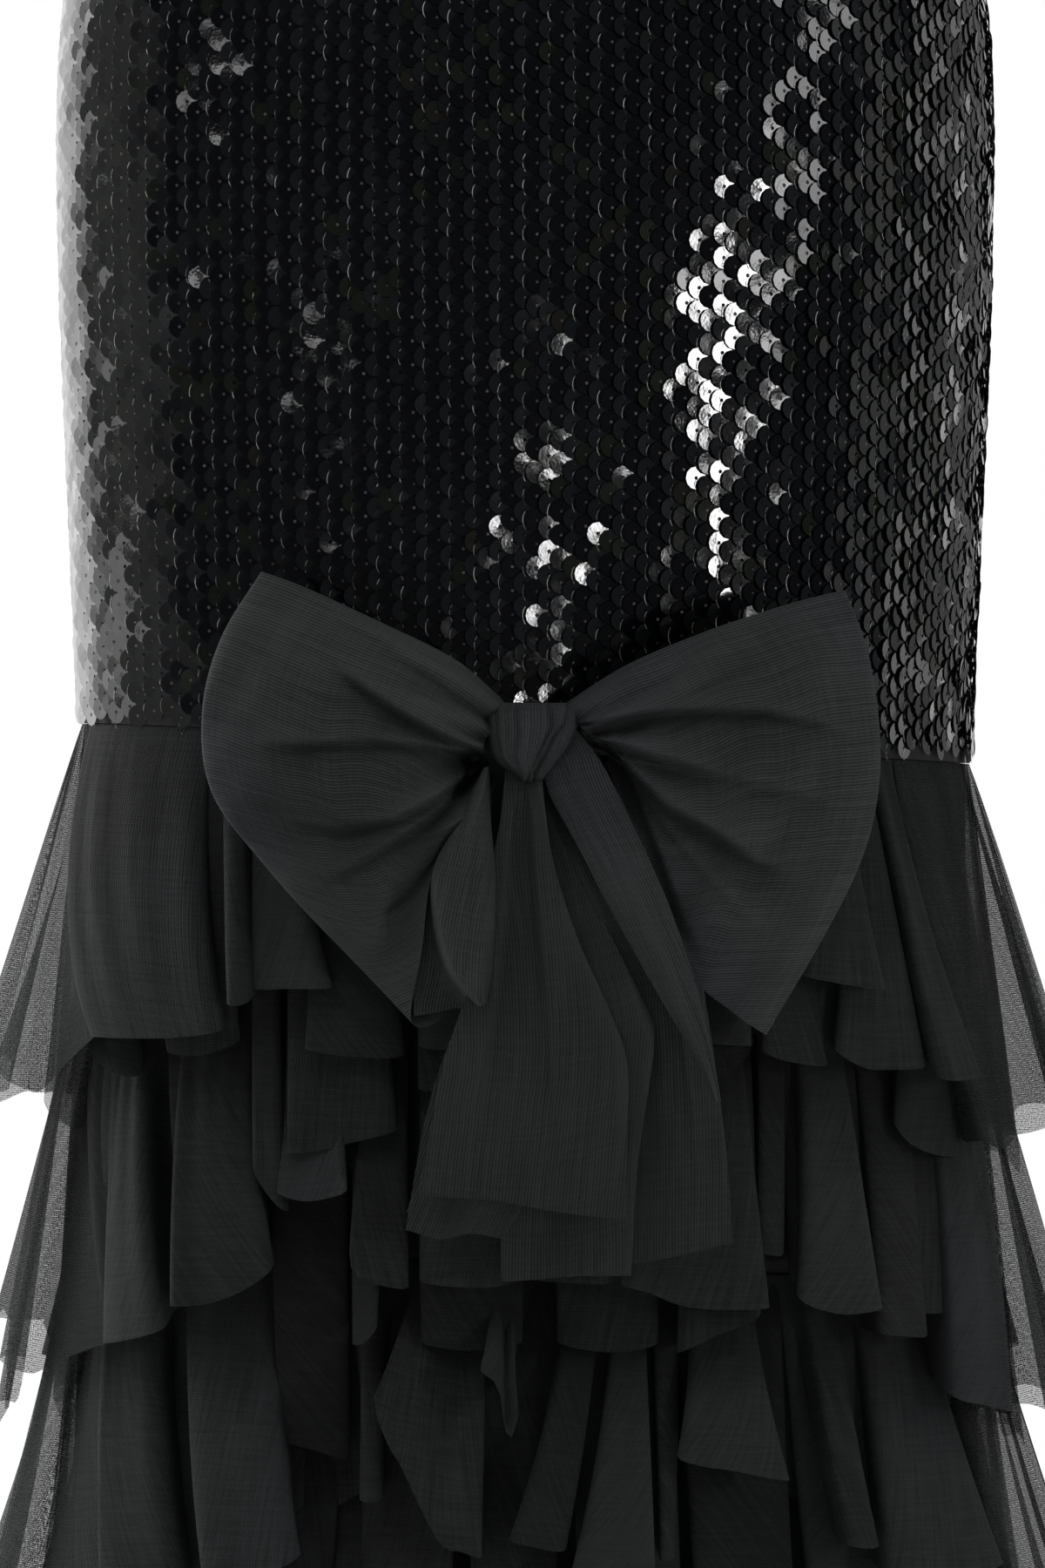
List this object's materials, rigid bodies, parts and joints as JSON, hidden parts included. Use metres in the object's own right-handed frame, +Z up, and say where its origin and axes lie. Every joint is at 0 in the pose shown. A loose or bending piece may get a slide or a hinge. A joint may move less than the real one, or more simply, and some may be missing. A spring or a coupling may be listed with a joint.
{
  "type": "strapless sequined sheath gown with tulle tiers and bow",
  "caption": "Hollow, floor-length strapless gown: fitted sequined sheath to the thigh, gathered tulle tiers below, tulle bow on the seam and a concealed back zip.",
  "frame": {"origin": "on the wearer's centre line at bust level, where the boned top of the gown is held up", "axes": "+Z up, -Y the gown's front, +X the wearer's left"},
  "size_m": [0.558, 0.5338, 1.3808],
  "materials": {
    "sequin_cloth": "glossy overlapping sequins",
    "tulle": "matt fine net",
    "underskirt_cloth": "matt",
    "bow_tulle": "matt doubled net",
    "zip_cloth": "woven tape",
    "zip_metal": "black lacquer"
  },
  "bodies": {
    "gown": {"sheath_front": "sequin_cloth", "sheath_back_left": "sequin_cloth", "sheath_back_right": "sequin_cloth", "underskirt_front": "underskirt_cloth", "underskirt_back_left": "underskirt_cloth", "underskirt_back_right": "underskirt_cloth", "tier_1": "tulle", "tier_2": "tulle", "tier_3": "tulle", "tier_4": "tulle", "tier_5": "tulle", "tier_6": "tulle", "tier_7": "tulle", "bow_loop_left": "bow_tulle", "bow_loop_right": "bow_tulle", "bow_knot": "bow_tulle", "bow_tail_left": "bow_tulle", "bow_tail_right": "bow_tulle", "zip_tape": "zip_cloth", "zip_slider": "zip_metal"},
    "zip_pull": {"zip_pull": "zip_metal"}
  },
  "joints": [
    {"name": "zip_pull_hinge", "type": "hinge", "parent": "gown", "child": "zip_pull", "pos_m": [0, 0.09756, -0.0015], "axis": [1, 0, 0], "range_deg": [0, 150]}
  ]
}
